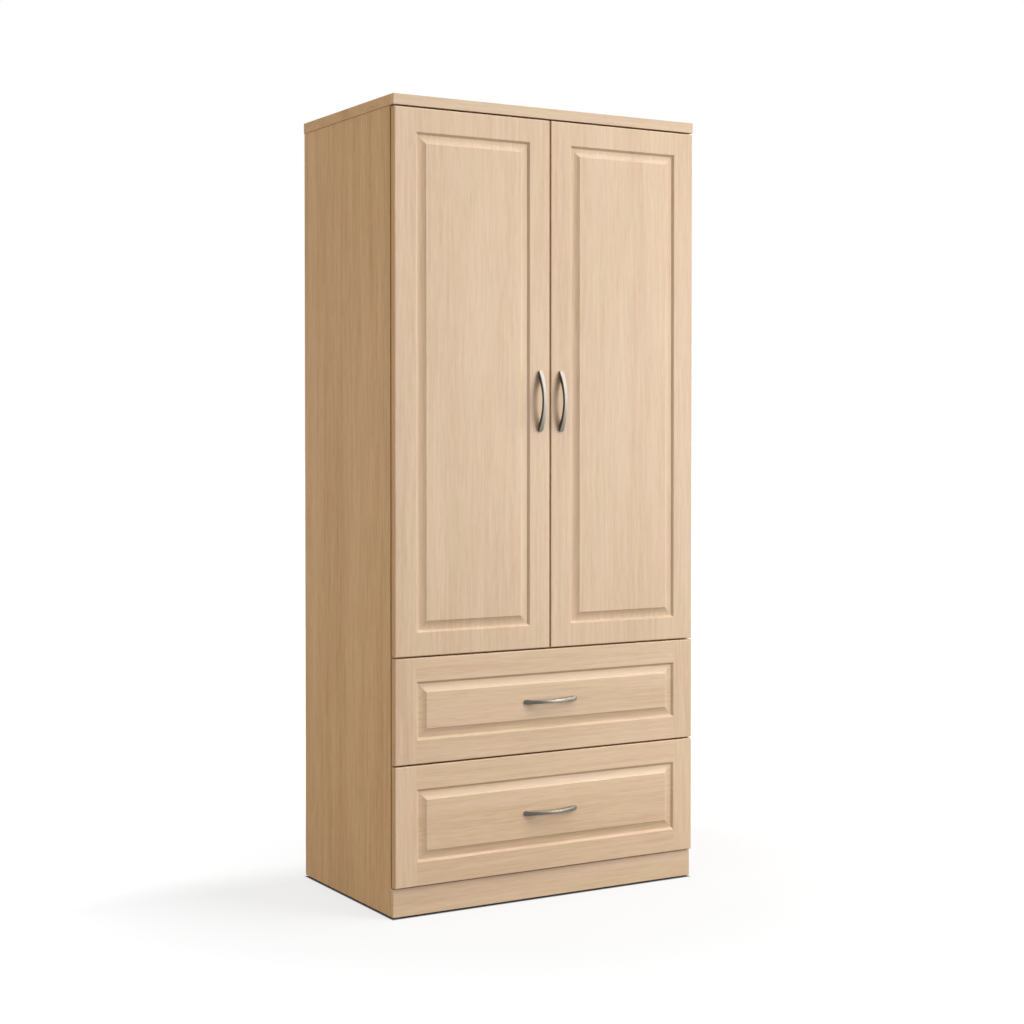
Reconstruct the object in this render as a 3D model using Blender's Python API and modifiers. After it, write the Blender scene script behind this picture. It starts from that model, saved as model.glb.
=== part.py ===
"""Two-door, two-drawer armoire of foil-wrapped and melamine board, as an assembly of separate pieces.

Run with: blender --background --python part.py
Metres, +Z up. The origin is on the floor, at the centre of the whole object's box; the front faces -Y.
"""

import math

import bmesh
import bpy
from mathutils import Matrix, Vector

# ---------------------------------------------------------------- driving dimensions, in metres
HEIGHT = 1.900  # floor to upper face of the top board
TOP_WIDTH = 0.840
TOP_DEPTH = 0.500
TOP_THICKNESS = 0.025
TOP_OVERHANG = 0.0015  # past each side panel
TOP_SETBACK = 0.0015  # top board's front edge behind the door faces

BOARD = 0.018  # carcass boards
FRONT_THICKNESS = 0.019  # doors and drawer fronts
FRONT_STANDOFF = 0.004  # carcass edge to the back of a door
FRONT_INSET = 0.001  # door edge inside the side panel's outer face
REVEAL = 0.0035  # gap between neighbouring fronts
TOP_REVEAL = 0.004  # gap between doors and top board

DOOR_HEIGHT = 1.2645
UPPER_FRONT_HEIGHT = 0.2465
LOWER_FRONT_HEIGHT = 0.2805
FOOT_HEIGHT = 0.004
PLINTH_TOP = 0.069
PLINTH_SETBACK = 0.010  # plinth face behind the drawer faces

HANDLE_LENGTH = 0.148
HANDLE_REACH = 0.025  # how far a handle stands out of a front
HANDLE_FOOT = 0.018  # length of each foot along the front
HANDLE_WAIST = 0.0055  # thickness of the bow at its middle
HANDLE_END_WIDTH = 0.0120
HANDLE_MIDDLE_WIDTH = 0.0090
HANDLE_ROUNDING = 0.0015
HANDLE_Z = 1.199  # middle of the door handles

TOUCH = 0.0003  # gap kept between pieces that touch

# ---------------------------------------------------------------- worked-out planes
SIDE_OUTER = TOP_WIDTH / 2 - TOP_OVERHANG
SIDE_INNER = SIDE_OUTER - BOARD
BACK = (TOP_DEPTH + TOP_SETBACK + HANDLE_REACH) / 2
TOP_FRONT = BACK - TOP_DEPTH
FACE = TOP_FRONT - TOP_SETBACK  # front face of doors and drawers
FRONT_BACK = FACE + FRONT_THICKNESS
CARCASS_FRONT = FRONT_BACK + FRONT_STANDOFF
TOP_UNDERSIDE = HEIGHT - TOP_THICKNESS
DOOR_TOP = TOP_UNDERSIDE - TOP_REVEAL
DOOR_BOTTOM = DOOR_TOP - DOOR_HEIGHT
UPPER_TOP = DOOR_BOTTOM - REVEAL
UPPER_BOTTOM = UPPER_TOP - UPPER_FRONT_HEIGHT
LOWER_TOP = UPPER_BOTTOM - REVEAL
LOWER_BOTTOM = LOWER_TOP - LOWER_FRONT_HEIGHT
DOOR_EDGE = SIDE_OUTER - FRONT_INSET

# Back panel, held in a groove of each side panel
BACK_PANEL_THICKNESS = 0.003
BACK_GROOVE = 0.0036
BACK_GROOVE_DEPTH = 0.006
BACK_GROOVE_REAR = BACK - 0.010
BACK_GROOVE_FRONT = BACK_GROOVE_REAR - BACK_GROOVE
BOARD_REAR = BACK_GROOVE_FRONT - TOUCH  # rear edge of boards that stop at the back panel

# Boards between the sides
FLOOR_BOARD_TOP = PLINTH_TOP + BOARD
DIVIDER_BOTTOM = (UPPER_TOP + DOOR_BOTTOM - BOARD) / 2
HAT_SHELF_BOTTOM = 1.600
HAT_SHELF_SETBACK = 0.020
HAT_SHELF_PLAY = 0.001  # side play of the loose shelf

# Raised-panel moulding: (distance in from the frame's edge, depth below the face)
FRAME_WIDTH = 0.055
EDGE_ROUND = 0.002
MOULDING = (
    (0.0000, 0.0000),
    (0.0012, 0.0010),
    (0.0034, 0.0047),
    (0.0045, 0.0060),
    (0.0062, 0.0060),
    (0.0235, 0.0020),
    (0.0252, 0.0011),
    (0.0262, 0.0000),
)

# Single-pin concealed hinges
HINGE_PIN_FROM_EDGE = 0.0083
HINGE_PIN_DEPTH = 0.0095  # below the door's back face
HINGE_PIN_RADIUS = 0.0015
HINGE_KNUCKLE_RADIUS = 0.0025
HINGE_KNUCKLE_BORE = 0.0018
HINGE_KNUCKLE_LENGTH = 0.0086
HINGE_ARM_WIDTH = 0.009
HINGE_POST_WIDTH = 0.011
HINGE_END_DISTANCE = 0.100  # outer hinges from the door's ends
CUP_RADIUS = 0.0175
CUP_FROM_EDGE = 0.003
CUP_DEPTH = 0.0135
CUP_WALL = 0.0009
CUP_WING_HALF = 0.026
CUP_WING_WIDTH = 0.016
CUP_WING_THICKNESS = 0.001
CUP_WING_OFFSET = 0.004  # wing plate's middle from the cup's, towards the room
CUP_WING_OVERLAP = 0.0002  # wing plate let into the cup's rim
PLATE_FROM_FRONT = 0.037
PLATE_LENGTH = 0.034
PLATE_WING_LENGTH = PLATE_LENGTH * 2 / 3
PLATE_HALF_HEIGHT = 0.024
PLATE_THICKNESS = 0.0025
ARM_PATH = ((0.0, 0.0), (0.0105, -0.0009), (0.0140, 0.0015), (0.0150, 0.0055), (0.0150, 0.0675))
ARM_HALF_THICKNESS = 0.001

# Drawers and their three-part slides
SLIDE_SPACE = 0.0128  # side panel to drawer box
SLIDE_LENGTH = 0.450
SLIDE_SHEET = 0.0012
BOX_SIDE = 0.012
BOX_LENGTH = 0.445
BOX_GROOVE_UP = 0.010
BOX_GROOVE = 0.0042
BOX_GROOVE_DEPTH = 0.006
BOX_BOTTOM_SHEET = 0.0036
UPPER_BOX = (0.372, 0.180)  # underside height, height of the box sides
LOWER_BOX = (0.100, 0.200)

# Slide members: web and lip ends in from the side panel, half height, length, front end behind the carcass
SLIDE_FIXED = (TOUCH, 0.0100, 0.0225, SLIDE_LENGTH, 0.002)
SLIDE_MIDDLE = (0.0032, 0.0110, 0.0186, SLIDE_LENGTH - 0.010, 0.004)
SLIDE_MOVING = (SLIDE_SPACE - TOUCH, 0.0060, 0.0144, SLIDE_LENGTH - 0.020, 0.001)

# Hanging rail and small fittings
RAIL_Z = 1.550
RAIL_Y = (CARCASS_FRONT + BOARD_REAR) / 2
RAIL_HALF_HEIGHT = 0.015
RAIL_HALF_WIDTH = 0.0075
RAIL_WALL = 0.0012
SOCKET_CLEARANCE = 0.0004
SOCKET_WALL = 0.0026
SOCKET_DEPTH = 0.010
SOCKET_BASE = 0.002
SOCKET_HALF_HEIGHT = 0.026
PIN_RADIUS = 0.0024
PIN_COLLAR_RADIUS = 0.0042
PIN_COLLAR_LENGTH = 0.0015
PIN_BURIED = 0.0075
PIN_REACH = 0.009
PIN_HOLE_RADIUS = 0.0028
PIN_HOLE_DEPTH = 0.010
PIN_FRONT_Y = CARCASS_FRONT + 0.060
PIN_REAR_Y = BOARD_REAR - 0.060
FOOT_RADIUS = 0.0085
FOOT_FROM_END = 0.030

ROUND_SEGMENTS = 32
SMALL_SEGMENTS = 20
PIN_SEGMENTS = 12
WELD_DISTANCE = 1e-6
SHARP_EDGE = math.radians(40)
SHARP_MOULDING_EDGE = math.radians(25)
BEVELLED_EDGE = math.radians(60)


# ---------------------------------------------------------------- scene and helpers
def clear_scene():
    for obj in list(bpy.data.objects):
        bpy.data.objects.remove(obj, do_unlink=True)


def new_collection(name):
    collection = bpy.data.collections.new(name)
    bpy.context.scene.collection.children.link(collection)
    return collection


def new_material(name, colour, roughness, metallic=0.0):
    material = bpy.data.materials.new(name)
    material.use_nodes = True
    shader = material.node_tree.nodes["Principled BSDF"]
    shader.inputs["Base Color"].default_value = (*colour, 1.0)
    shader.inputs["Roughness"].default_value = roughness
    shader.inputs["Metallic"].default_value = metallic
    return material


clear_scene()
PARTS = new_collection("armoire")
CUTTERS = new_collection("cutters")
MAPLE = new_material("maple_foil", (0.66, 0.49, 0.34), 0.45)
MELAMINE = new_material("maple_melamine", (0.62, 0.45, 0.30), 0.5)
HARDBOARD = new_material("hardboard", (0.45, 0.30, 0.18), 0.8)
NICKEL = new_material("brushed_nickel", (0.62, 0.60, 0.56), 0.3, 1.0)
ZINC = new_material("zinc_plated_steel", (0.70, 0.71, 0.72), 0.35, 1.0)
CHROME = new_material("chrome", (0.80, 0.80, 0.82), 0.1, 1.0)
PLASTIC = new_material("brown_plastic", (0.16, 0.11, 0.08), 0.5)


def add_mesh(name, bm, material, location=(0, 0, 0), collection=None):
    """A new object from a bmesh, its origin at location."""
    mesh = bpy.data.meshes.new(name)
    bm.to_mesh(mesh)
    bm.free()
    obj = bpy.data.objects.new(name, mesh)
    obj.location = location
    (collection or PARTS).objects.link(obj)
    if material:
        mesh.materials.append(material)
    return obj


def box(name, low, high, material, collection=None):
    """A box between any two opposite corners."""
    low, high = Vector(map(min, low, high)), Vector(map(max, low, high))
    bm = bmesh.new()
    bmesh.ops.create_cube(bm, size=1.0, matrix=Matrix.Diagonal((*(high - low), 1.0)))
    return add_mesh(name, bm, material, (low + high) / 2, collection)


def cylinder(name, radius, length, centre, axis, material, segments=SMALL_SEGMENTS, collection=None):
    bm = bmesh.new()
    bmesh.ops.create_cone(
        bm, cap_ends=True, segments=segments, radius1=radius, radius2=radius, depth=length
    )
    obj = add_mesh(name, bm, material, centre, collection)
    obj.rotation_euler = Vector((0, 0, 1)).rotation_difference(Vector(axis)).to_euler()
    obj.data.shade_smooth()
    obj.data.set_sharp_from_angle(angle=SHARP_EDGE)
    return obj


def extruded(name, outlines, length, centre, along, material, collection=None):
    """Closed outlines extruded along an axis: (y, z) points along X, (x, z) along Y, (x, y) along Z."""
    curve = bpy.data.curves.new(name, "CURVE")
    curve.dimensions = "2D"
    curve.fill_mode = "BOTH"
    curve.extrude = length / 2
    for outline in outlines:
        spline = curve.splines.new("POLY")
        spline.points.add(len(outline) - 1)
        for point, (u, v) in zip(spline.points, outline):
            point.co = (u, v, 0.0, 1.0)
        spline.use_cyclic_u = True
    obj = bpy.data.objects.new(name, curve)
    obj.rotation_euler = {
        "X": (math.pi / 2, 0.0, math.pi / 2),
        "Y": (math.pi / 2, 0.0, 0.0),
        "Z": (0.0, 0.0, 0.0),
    }[along]
    obj.location = centre
    (collection or PARTS).objects.link(obj)
    if material:
        curve.materials.append(material)
    return obj


def as_mesh(curve_object):
    """The same object as a welded mesh, which Boolean modifiers can use."""
    bpy.context.view_layer.update()
    graph = bpy.context.evaluated_depsgraph_get()
    mesh = bpy.data.meshes.new_from_object(curve_object.evaluated_get(graph))
    bm = bmesh.new()
    bm.from_mesh(mesh)
    bmesh.ops.remove_doubles(bm, verts=bm.verts, dist=WELD_DISTANCE)
    bmesh.ops.recalc_face_normals(bm, faces=bm.faces)
    bm.to_mesh(mesh)
    bm.free()
    name = curve_object.name
    made = bpy.data.objects.new(name + "_mesh", mesh)
    made.matrix_world = curve_object.matrix_world.copy()
    for collection in curve_object.users_collection:
        collection.objects.link(made)
    bpy.data.objects.remove(curve_object, do_unlink=True)
    made.name = name
    return made


def boolean(obj, other, operation):
    other.hide_render = True
    other.display_type = "WIRE"
    modifier = obj.modifiers.new(f"{operation.lower()}_{other.name}", "BOOLEAN")
    modifier.operation = operation
    modifier.object = other


def pivot(name, location):
    empty = bpy.data.objects.new(name, None)
    empty.location = location
    PARTS.objects.link(empty)
    return empty


def hang_on(empty, *objects):
    """Parents objects to an empty, leaving them where they are."""
    bpy.context.view_layer.update()
    for obj in objects:
        obj.parent = empty
        obj.matrix_parent_inverse = empty.matrix_world.inverted()


def arc(centre, radius, start_deg, end_deg, steps):
    return [
        (
            centre[0] + radius * math.cos(math.radians(start_deg + (end_deg - start_deg) * i / steps)),
            centre[1] + radius * math.sin(math.radians(start_deg + (end_deg - start_deg) * i / steps)),
        )
        for i in range(steps + 1)
    ]


def stadium(half_width, half_height, steps=8):
    """A tall outline with round ends."""
    straight = half_height - half_width
    return arc((0, straight), half_width, 0, 180, steps) + arc((0, -straight), half_width, 180, 360, steps)


SIDES = (("left", -1), ("right", 1))


# ---------------------------------------------------------------- carcass
def side_panel(side, sign):
    panel = box(
        f"side_panel_{side}",
        (sign * SIDE_INNER, CARCASS_FRONT, FOOT_HEIGHT),
        (sign * SIDE_OUTER, BACK, TOP_UNDERSIDE - TOUCH),
        MELAMINE,
    )
    groove = box(
        f"cut_back_groove_{side}",
        (sign * SIDE_INNER - BACK_GROOVE_DEPTH, BACK_GROOVE_FRONT, 0.0),
        (sign * SIDE_INNER + BACK_GROOVE_DEPTH, BACK_GROOVE_REAR, HEIGHT),
        None,
        CUTTERS,
    )
    boolean(panel, groove, "DIFFERENCE")
    for place, y in (("front", PIN_FRONT_Y), ("rear", PIN_REAR_Y)):
        hole = cylinder(
            f"cut_shelf_pin_{side}_{place}",
            PIN_HOLE_RADIUS,
            2 * PIN_HOLE_DEPTH,
            (sign * SIDE_INNER, y, HAT_SHELF_BOTTOM - TOUCH - PIN_RADIUS),
            (1, 0, 0),
            None,
            collection=CUTTERS,
        )
        boolean(panel, hole, "DIFFERENCE")


def shelf_pin(side, sign, place, y):
    """A turned peg: buried shank, collar against the side panel, and the shank that the shelf rests on."""
    tip = -PIN_BURIED
    collar = TOUCH
    profile = (
        (0.0, PIN_REACH),
        (PIN_RADIUS, PIN_REACH),
        (PIN_RADIUS, collar + PIN_COLLAR_LENGTH),
        (PIN_COLLAR_RADIUS, collar + PIN_COLLAR_LENGTH),
        (PIN_COLLAR_RADIUS, collar),
        (PIN_RADIUS, collar),
        (PIN_RADIUS, tip),
        (0.0, tip),
    )
    bm = bmesh.new()
    points = [bm.verts.new((radius, 0.0, along)) for radius, along in profile]
    for first, second in zip(points, points[1:]):
        bm.edges.new((first, second))
    pin = add_mesh(f"shelf_pin_{side}_{place}", bm, ZINC)
    screw = pin.modifiers.new("turn", "SCREW")
    screw.steps = SMALL_SEGMENTS
    screw.render_steps = SMALL_SEGMENTS
    screw.use_merge_vertices = True
    screw.merge_threshold = 10 * WELD_DISTANCE
    pin.location = (sign * SIDE_INNER, y, HAT_SHELF_BOTTOM - TOUCH - PIN_RADIUS)
    pin.rotation_euler = (0.0, -sign * math.pi / 2, 0.0)


def build_carcass():
    between = SIDE_INNER - TOUCH
    shelf_end = SIDE_INNER - PIN_COLLAR_LENGTH - HAT_SHELF_PLAY
    for side, sign in SIDES:
        side_panel(side, sign)
    box(
        "top_panel",
        (-TOP_WIDTH / 2, CARCASS_FRONT, TOP_UNDERSIDE),
        (TOP_WIDTH / 2, BACK, HEIGHT),
        MELAMINE,
    )
    box(
        "top_lipping",
        (-TOP_WIDTH / 2, TOP_FRONT, TOP_UNDERSIDE),
        (TOP_WIDTH / 2, CARCASS_FRONT - TOUCH, HEIGHT),
        MAPLE,
    )
    box(
        "floor_panel",
        (-between, CARCASS_FRONT, PLINTH_TOP),
        (between, BOARD_REAR, FLOOR_BOARD_TOP),
        MELAMINE,
    )
    box(
        "divider_panel",
        (-between, CARCASS_FRONT, DIVIDER_BOTTOM),
        (between, BOARD_REAR, DIVIDER_BOTTOM + BOARD),
        MELAMINE,
    )
    box(
        "hat_shelf",
        (-shelf_end, CARCASS_FRONT + HAT_SHELF_SETBACK, HAT_SHELF_BOTTOM),
        (shelf_end, BOARD_REAR, HAT_SHELF_BOTTOM + BOARD),
        MELAMINE,
    )
    back_edge = SIDE_INNER + BACK_GROOVE_DEPTH - TOUCH
    box(
        "back_panel",
        (-back_edge, BACK_GROOVE_REAR - TOUCH - BACK_PANEL_THICKNESS, FOOT_HEIGHT),
        (back_edge, BACK_GROOVE_REAR - TOUCH, TOP_UNDERSIDE - TOUCH),
        HARDBOARD,
    )
    box(
        "plinth_board",
        (-SIDE_OUTER, FACE + PLINTH_SETBACK, FOOT_HEIGHT),
        (SIDE_OUTER, CARCASS_FRONT - TOUCH, PLINTH_TOP),
        MAPLE,
    )
    for side, sign in SIDES:
        for place, y in (("front", PIN_FRONT_Y), ("rear", PIN_REAR_Y)):
            shelf_pin(side, sign, place, y)
        for place, y in (("front", CARCASS_FRONT + FOOT_FROM_END), ("rear", BACK - FOOT_FROM_END)):
            foot_height = FOOT_HEIGHT - TOUCH
            cylinder(
                f"foot_{side}_{place}",
                FOOT_RADIUS,
                foot_height,
                (sign * (SIDE_OUTER - BOARD / 2), y, foot_height / 2),
                (0, 0, 1),
                PLASTIC,
            )


# ---------------------------------------------------------------- hanging rail
def rail_socket(side, sign):
    """A base plate with an open U that the rail's end drops into."""
    inner = RAIL_HALF_WIDTH + SOCKET_CLEARANCE
    outer = inner + SOCKET_WALL
    bottom = -(RAIL_HALF_HEIGHT - RAIL_HALF_WIDTH)
    top = RAIL_HALF_HEIGHT
    outline = arc((0, bottom), outer, 180, 360, 12) + [(outer, top), (inner, top)]
    outline += arc((0, bottom), inner, 0, -180, 12) + [(-inner, top), (-outer, top)]
    base_x = sign * (SIDE_INNER - TOUCH)
    cradle_from = base_x - sign * SOCKET_BASE / 2
    cradle_to = base_x - sign * (SOCKET_BASE + SOCKET_DEPTH)
    cradle = extruded(
        f"rail_cradle_{side}",
        [outline],
        abs(cradle_to - cradle_from),
        ((cradle_from + cradle_to) / 2, RAIL_Y, RAIL_Z),
        "X",
        ZINC,
        CUTTERS,
    )
    plate = extruded(
        f"rail_socket_{side}",
        [stadium(outer, SOCKET_HALF_HEIGHT)],
        SOCKET_BASE,
        (base_x - sign * SOCKET_BASE / 2, RAIL_Y, RAIL_Z),
        "X",
        ZINC,
    )
    boolean(as_mesh(plate), as_mesh(cradle), "UNION")


def build_rail():
    for side, sign in SIDES:
        rail_socket(side, sign)
    reach = SIDE_INNER - TOUCH - SOCKET_BASE - TOUCH
    extruded(
        "hanging_rail",
        [
            stadium(RAIL_HALF_WIDTH, RAIL_HALF_HEIGHT),
            stadium(RAIL_HALF_WIDTH - RAIL_WALL, RAIL_HALF_HEIGHT - RAIL_WALL),
        ],
        2 * reach,
        (0, RAIL_Y, RAIL_Z),
        "X",
        CHROME,
    )


# ---------------------------------------------------------------- fronts and handles
def raised_front(name, low_x, high_x, low_z, high_z):
    """A slab with a rounded front edge, its face inset step by step along MOULDING."""
    bm = bmesh.new()
    size = (high_x - low_x, FRONT_THICKNESS, high_z - low_z)
    bmesh.ops.create_cube(bm, size=1.0, matrix=Matrix.Diagonal((*size, 1.0)))
    bm.normal_update()
    face = min(bm.faces, key=lambda f: f.calc_center_median().y)
    bmesh.ops.bevel(
        bm, geom=list(face.edges), offset=EDGE_ROUND, segments=2, profile=0.5, affect="EDGES"
    )
    bm.normal_update()
    face = min(bm.faces, key=lambda f: f.calc_center_median().y)
    bmesh.ops.inset_individual(bm, faces=[face], thickness=FRAME_WIDTH - EDGE_ROUND, use_even_offset=True)
    for (near, shallow), (far, deep) in zip(MOULDING, MOULDING[1:]):
        bmesh.ops.inset_individual(
            bm, faces=[face], thickness=far - near, depth=shallow - deep, use_even_offset=True
        )
    centre = ((low_x + high_x) / 2, FACE + FRONT_THICKNESS / 2, (low_z + high_z) / 2)
    front = add_mesh(name, bm, MAPLE, centre)
    front.data.shade_smooth()
    front.data.set_sharp_from_angle(angle=SHARP_MOULDING_EDGE)
    return front


def bow_handle(name, x, z, upright):
    """A crescent seen from the side, extruded across and slimmed towards its middle."""
    half = HANDLE_LENGTH / 2
    rise = HANDLE_REACH - TOUCH
    spread = HANDLE_END_WIDTH - HANDLE_MIDDLE_WIDTH

    def bow(half_span, height, steps):
        radius = (half_span**2 + height**2) / (2 * height)
        angle = math.degrees(math.asin(half_span / radius))
        return arc((0, height - radius), radius, 90 - angle, 90 + angle, steps)

    outer = bow(half, rise, 20)
    inner = bow(half - HANDLE_FOOT, rise - HANDLE_WAIST, 16)
    curve = extruded(name, [outer + inner[::-1]], HANDLE_END_WIDTH, (0, 0, 0), "Z", NICKEL)
    handle = as_mesh(curve)
    for vertex in handle.data.vertices:
        share = abs(vertex.co.x) / half
        vertex.co.z *= (HANDLE_MIDDLE_WIDTH + spread * share**2) / HANDLE_END_WIDTH
    bevel = handle.modifiers.new("round_edges", "BEVEL")
    bevel.width = HANDLE_ROUNDING
    bevel.segments = 1
    bevel.limit_method = "ANGLE"
    bevel.angle_limit = BEVELLED_EDGE
    handle.rotation_euler = Matrix(
        ((0, 0, 1), (0, -1, 0), (1, 0, 0)) if upright else ((1, 0, 0), (0, -1, 0), (0, 0, -1))
    ).to_euler()
    handle.location = (x, FACE - TOUCH, z)
    return handle


# ---------------------------------------------------------------- hinges
def hinge_pin_place(sign):
    return sign * (DOOR_EDGE - HINGE_PIN_FROM_EDGE), FRONT_BACK - HINGE_PIN_DEPTH


def hinge_cup(name, sign, z):
    """A cup with a wing plate on the door's back and the pivot pin across it."""
    pin_x, pin_y = hinge_pin_place(sign)
    cup_x = sign * (DOOR_EDGE - CUP_FROM_EDGE - CUP_RADIUS)
    rim = FRONT_BACK + TOUCH
    cup = cylinder(
        name,
        CUP_RADIUS,
        CUP_DEPTH,
        (cup_x, rim - CUP_DEPTH / 2, z),
        (0, 1, 0),
        ZINC,
        ROUND_SEGMENTS,
    )
    wing_x = cup_x - sign * CUP_WING_OFFSET
    wing_y = rim - CUP_WING_OVERLAP
    wings = box(
        f"wings_of_{name}",
        (wing_x - CUP_WING_WIDTH / 2, wing_y, z - CUP_WING_HALF),
        (wing_x + CUP_WING_WIDTH / 2, wing_y + CUP_WING_THICKNESS, z + CUP_WING_HALF),
        ZINC,
        CUTTERS,
    )
    hollow = cylinder(
        f"cut_hollow_of_{name}",
        CUP_RADIUS - CUP_WALL,
        2 * (CUP_DEPTH - CUP_WALL),
        (cup_x, rim, z),
        (0, 1, 0),
        None,
        ROUND_SEGMENTS,
        CUTTERS,
    )
    in_wall = CUP_RADIUS - CUP_WALL / 4  # the pin's ends stop inside the cup's wall
    pin_reach = math.sqrt(in_wall**2 - (abs(pin_x - cup_x) + HINGE_PIN_RADIUS) ** 2)
    pin = cylinder(
        f"pin_of_{name}",
        HINGE_PIN_RADIUS,
        2 * pin_reach,
        (pin_x, pin_y, z),
        (0, 0, 1),
        ZINC,
        PIN_SEGMENTS,
        CUTTERS,
    )
    boolean(cup, wings, "UNION")
    boolean(cup, hollow, "DIFFERENCE")
    boolean(cup, pin, "UNION")
    return cup


def hinge_arm(name, sign, z):
    """A bent arm with a knuckle round the pin, on a plate that sits on the side panel."""
    pin_x, pin_y = hinge_pin_place(sign)
    points = [Vector(point) for point in ARM_PATH]
    left, right = [], []
    for i, point in enumerate(points):
        before = points[max(i - 1, 0)]
        after = points[min(i + 1, len(points) - 1)]
        along = (after - before).normalized()
        across = Vector((-along.y, along.x)) * ARM_HALF_THICKNESS
        left.append(point + across)
        right.append(point - across)
    outline = [(-sign * p.x, p.y) for p in left + right[::-1]]
    strip = extruded(name, [outline], HINGE_ARM_WIDTH, (pin_x, pin_y, z), "Z", ZINC)
    arm = as_mesh(strip)
    knuckle = cylinder(
        f"knuckle_of_{name}",
        HINGE_KNUCKLE_RADIUS,
        HINGE_KNUCKLE_LENGTH,
        (pin_x, pin_y, z),
        (0, 0, 1),
        ZINC,
        SMALL_SEGMENTS,
        CUTTERS,
    )
    bore = cylinder(
        f"cut_bore_of_{name}",
        HINGE_KNUCKLE_BORE,
        2 * HINGE_ARM_WIDTH,
        (pin_x, pin_y, z),
        (0, 0, 1),
        None,
        PIN_SEGMENTS,
        CUTTERS,
    )
    wall = sign * (SIDE_INNER - TOUCH)
    top = pin_x - sign * (ARM_PATH[-1][0] + ARM_HALF_THICKNESS / 2)
    plate_y = CARCASS_FRONT + PLATE_FROM_FRONT
    post = box(
        f"post_of_{name}",
        (wall, plate_y - PLATE_LENGTH / 2, z - HINGE_POST_WIDTH / 2),
        (top, plate_y + PLATE_LENGTH / 2, z + HINGE_POST_WIDTH / 2),
        ZINC,
        CUTTERS,
    )
    plate_face = wall - sign * PLATE_THICKNESS
    plate = box(
        f"plate_of_{name}",
        (wall, plate_y - PLATE_WING_LENGTH / 2, z - PLATE_HALF_HEIGHT),
        (plate_face, plate_y + PLATE_WING_LENGTH / 2, z + PLATE_HALF_HEIGHT),
        ZINC,
        CUTTERS,
    )
    boolean(arm, knuckle, "UNION")
    boolean(arm, bore, "DIFFERENCE")
    boolean(arm, post, "UNION")
    boolean(arm, plate, "UNION")


def build_door(side, sign):
    outer, inner = sign * DOOR_EDGE, sign * REVEAL / 2
    door = raised_front(f"door_{side}", min(outer, inner), max(outer, inner), DOOR_BOTTOM, DOOR_TOP)
    handle = bow_handle(f"handle_door_{side}", sign * (REVEAL / 2 + FRAME_WIDTH / 2), HANDLE_Z, True)
    pin_x, pin_y = hinge_pin_place(sign)
    axis = pivot(f"door_{side}_axis", (pin_x, pin_y, DOOR_BOTTOM))
    moving = [door, handle]
    heights = (
        ("bottom", DOOR_BOTTOM + HINGE_END_DISTANCE),
        ("middle", (DOOR_BOTTOM + DOOR_TOP) / 2),
        ("top", DOOR_TOP - HINGE_END_DISTANCE),
    )
    cup_x = sign * (DOOR_EDGE - CUP_FROM_EDGE - CUP_RADIUS)
    for place, z in heights:
        seat = cylinder(
            f"cut_cup_seat_{side}_{place}",
            CUP_RADIUS + TOUCH,
            2 * (CUP_DEPTH + TOUCH),
            (cup_x, FRONT_BACK, z),
            (0, 1, 0),
            None,
            ROUND_SEGMENTS,
            CUTTERS,
        )
        boolean(door, seat, "DIFFERENCE")
        moving.append(hinge_cup(f"hinge_cup_{side}_{place}", sign, z))
        hinge_arm(f"hinge_arm_{side}_{place}", sign, z)
    hang_on(axis, *moving)


# ---------------------------------------------------------------- drawers
def channel(name, member, z, sign):
    """A C section along Y: its web at wall_u and its lips reaching open_u, in from the side panel."""
    wall_u, open_u, half_height, length, setback = member
    step = SLIDE_SHEET if open_u > wall_u else -SLIDE_SHEET
    outline = [
        (wall_u, -half_height),
        (open_u, -half_height),
        (open_u, -half_height + SLIDE_SHEET),
        (wall_u + step, -half_height + SLIDE_SHEET),
        (wall_u + step, half_height - SLIDE_SHEET),
        (open_u, half_height - SLIDE_SHEET),
        (open_u, half_height),
        (wall_u, half_height),
    ]
    placed = [(sign * (SIDE_INNER - u), v) for u, v in outline]
    return extruded(name, [placed], length, (0, CARCASS_FRONT + setback + length / 2, z), "Y", ZINC)


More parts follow.
